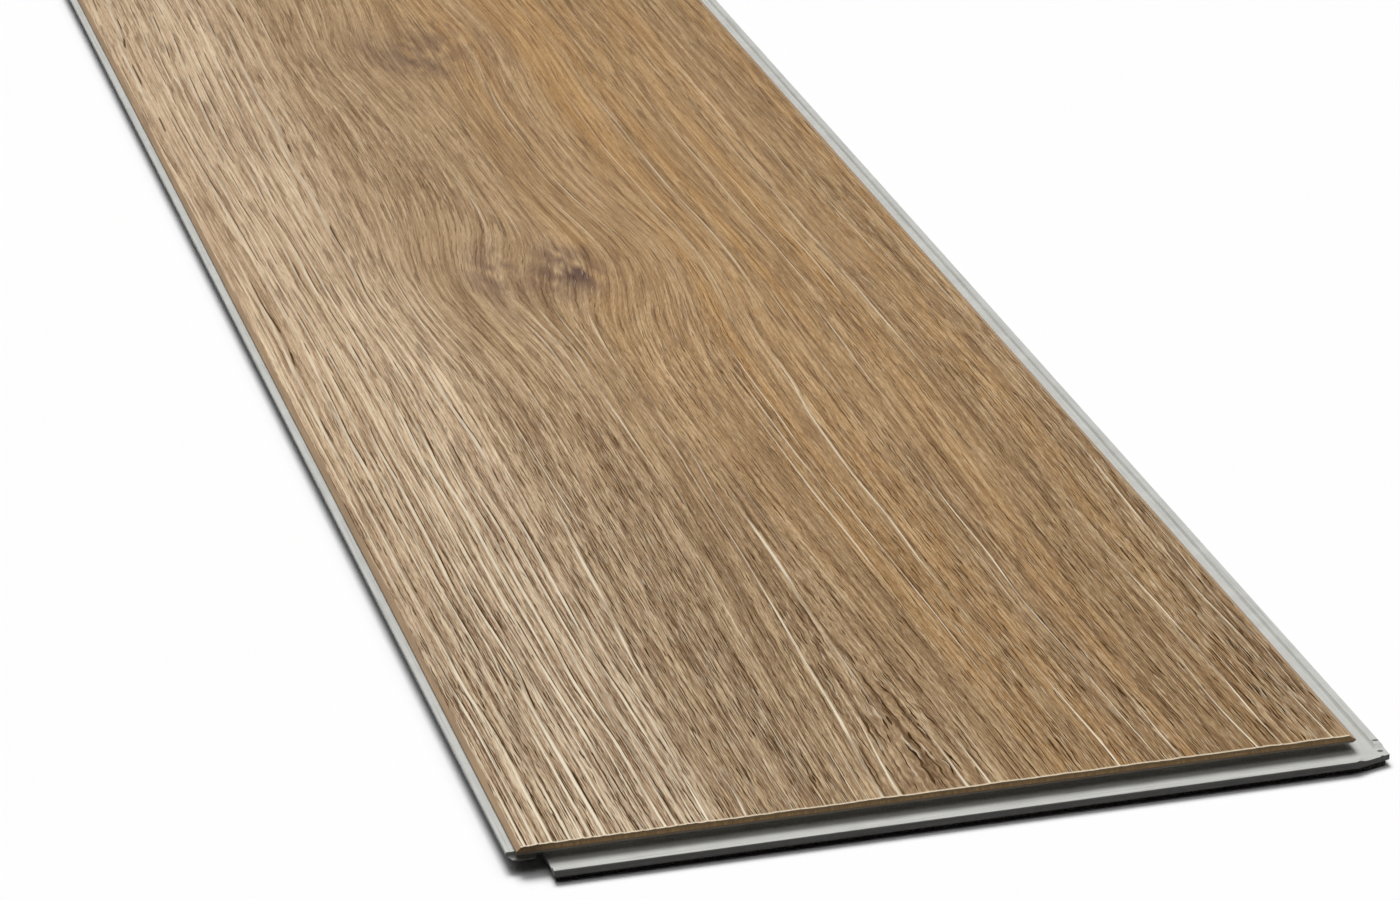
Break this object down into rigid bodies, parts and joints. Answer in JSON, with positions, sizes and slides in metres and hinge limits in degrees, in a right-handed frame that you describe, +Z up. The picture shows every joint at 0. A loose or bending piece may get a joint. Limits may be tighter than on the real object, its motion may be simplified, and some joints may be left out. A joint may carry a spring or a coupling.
{
  "type": "herringbone vinyl plank",
  "caption": "Flat click-lock vinyl floor plank for herringbone laying, with a bevelled wood-print face, a rigid core and a foam backing.",
  "frame": {"origin": "on the floor plane, under the middle of the plank's visible face", "axes": "+Z up out of the face, +Y along the plank towards the tongue end, +X across it towards the long lip edge"},
  "size_m": [0.1567, 0.7567, 0.005],
  "materials": {
    "printed_vinyl": "matt wood print on vinyl with pressed grain",
    "rigid_core": "light grey limestone-filled vinyl board, milled edges",
    "foam_backing": "warm grey closed-cell foam sheet"
  },
  "bodies": {
    "root": {"printed_vinyl_layer": "printed_vinyl", "rigid_core_board": "rigid_core", "foam_underlay": "foam_backing"}
  },
  "joints": []
}
